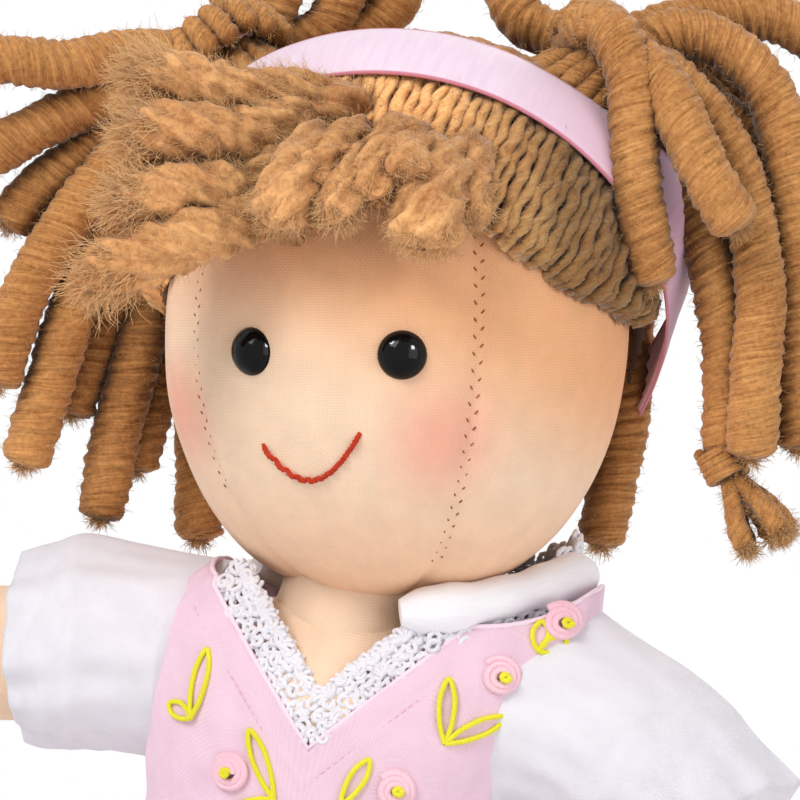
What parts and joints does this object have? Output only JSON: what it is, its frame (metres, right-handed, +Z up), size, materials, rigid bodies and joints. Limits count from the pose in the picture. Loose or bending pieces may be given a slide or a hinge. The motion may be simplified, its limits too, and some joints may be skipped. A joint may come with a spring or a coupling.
{
  "type": "rag doll",
  "caption": "Stuffed cotton rag doll standing with its arms out, with yarn pigtails, a ribbon, bead eyes, a stitched smile and a pink dress; head, arms, legs and pigtails move.",
  "frame": {"origin": "on the floor, under the middle of the doll's box", "axes": "+Z up, the doll faces -Y, and its own left is +X"},
  "size_m": [0.2694, 0.1176, 0.3832],
  "materials": {
    "skin_cotton": "matte",
    "stuffing": "matte",
    "wool_yarn": "matte",
    "satin_ribbon": "satin",
    "pink_cotton": "matte",
    "white_cotton": "matte",
    "crochet_lace": "matte",
    "mouth_thread": "matte",
    "black_bead": "gloss",
    "shoe_felt": "matte",
    "sole_felt": "matte",
    "button": "gloss"
  },
  "bodies": {
    "torso": {"torso_stuffing": "stuffing", "torso_skin": "skin_cotton", "bodice": "pink_cotton", "skirt": "pink_cotton", "lace_collar": "crochet_lace", "collar_band": "white_cotton", "bloomers_seat": "white_cotton"},
    "neck": {"neck_stuffing": "stuffing", "neck_skin": "skin_cotton"},
    "head": {"head_stuffing": "stuffing", "face_panel": "skin_cotton", "head_side_panel_left": "skin_cotton", "head_side_panel_right": "skin_cotton", "head_back_panel": "skin_cotton", "eye_left": "black_bead", "eye_right": "black_bead", "smile_stitch": "mouth_thread", "hair_cap": "wool_yarn", "headband": "satin_ribbon", "hair_fringe": "wool_yarn", "nape_lock_left": "wool_yarn", "nape_lock_right": "wool_yarn"},
    "pigtail_left": {"pigtail_left": "wool_yarn", "hair_tie_left": "satin_ribbon"},
    "arm_left": {"arm_left_stuffing": "stuffing", "arm_left_skin": "skin_cotton", "sleeve_left": "white_cotton"},
    "leg_left": {"leg_left_stuffing": "stuffing", "leg_left_skin": "skin_cotton", "bloomers_leg_left": "white_cotton", "shoe_left_upper": "shoe_felt", "shoe_left_sole": "sole_felt", "shoe_left_strap": "shoe_felt", "shoe_left_button": "button"},
    "pigtail_right": {"pigtail_right": "wool_yarn", "hair_tie_right": "satin_ribbon"},
    "arm_right": {"arm_right_stuffing": "stuffing", "arm_right_skin": "skin_cotton", "sleeve_right": "white_cotton"},
    "leg_right": {"leg_right_stuffing": "stuffing", "leg_right_skin": "skin_cotton", "bloomers_leg_right": "white_cotton", "shoe_right_upper": "shoe_felt", "shoe_right_sole": "sole_felt", "shoe_right_strap": "shoe_felt", "shoe_right_button": "button"}
  },
  "joints": [
    {"name": "neck_nod", "type": "hinge", "parent": "torso", "child": "neck", "pos_m": [0.00579, -0.00121, 0.232], "axis": [1, 0, 0], "range_deg": [-6, 8]},
    {"name": "head_turn", "type": "hinge", "parent": "neck", "child": "head", "pos_m": [0.00579, -0.00121, 0.251], "axis": [0, 0, 1], "range_deg": [-16, 30]},
    {"name": "arm_left_raise", "type": "hinge", "parent": "torso", "child": "arm_left", "pos_m": [0.04779, -0.00121, 0.229], "axis": [0, -1, 0], "range_deg": [-6, 40]},
    {"name": "leg_left_swing", "type": "hinge", "parent": "torso", "child": "leg_left", "pos_m": [0.0248, -0.00121, 0.118], "axis": [-1, 0, 0], "range_deg": [-25, 90], "deforming": ["skirt"]},
    {"name": "pigtail_left_swing", "type": "hinge", "parent": "head", "child": "pigtail_left", "pos_m": [0.03729, 0.00024, 0.35024], "axis": [0.9792, -0.1551, 0.1305], "range_deg": [-20, 20]},
    {"name": "arm_right_raise", "type": "hinge", "parent": "torso", "child": "arm_right", "pos_m": [-0.03621, -0.00121, 0.229], "axis": [0, 1, 0], "range_deg": [-28, 14]},
    {"name": "leg_right_swing", "type": "hinge", "parent": "torso", "child": "leg_right", "pos_m": [-0.0132, -0.00121, 0.118], "axis": [-1, 0, 0], "range_deg": [-25, 90], "deforming": ["skirt"]},
    {"name": "pigtail_right_swing", "type": "hinge", "parent": "head", "child": "pigtail_right", "pos_m": [-0.03603, 0.01185, 0.34047], "axis": [0.9792, -0.1551, 0.1305], "range_deg": [-20, 20]}
  ]
}
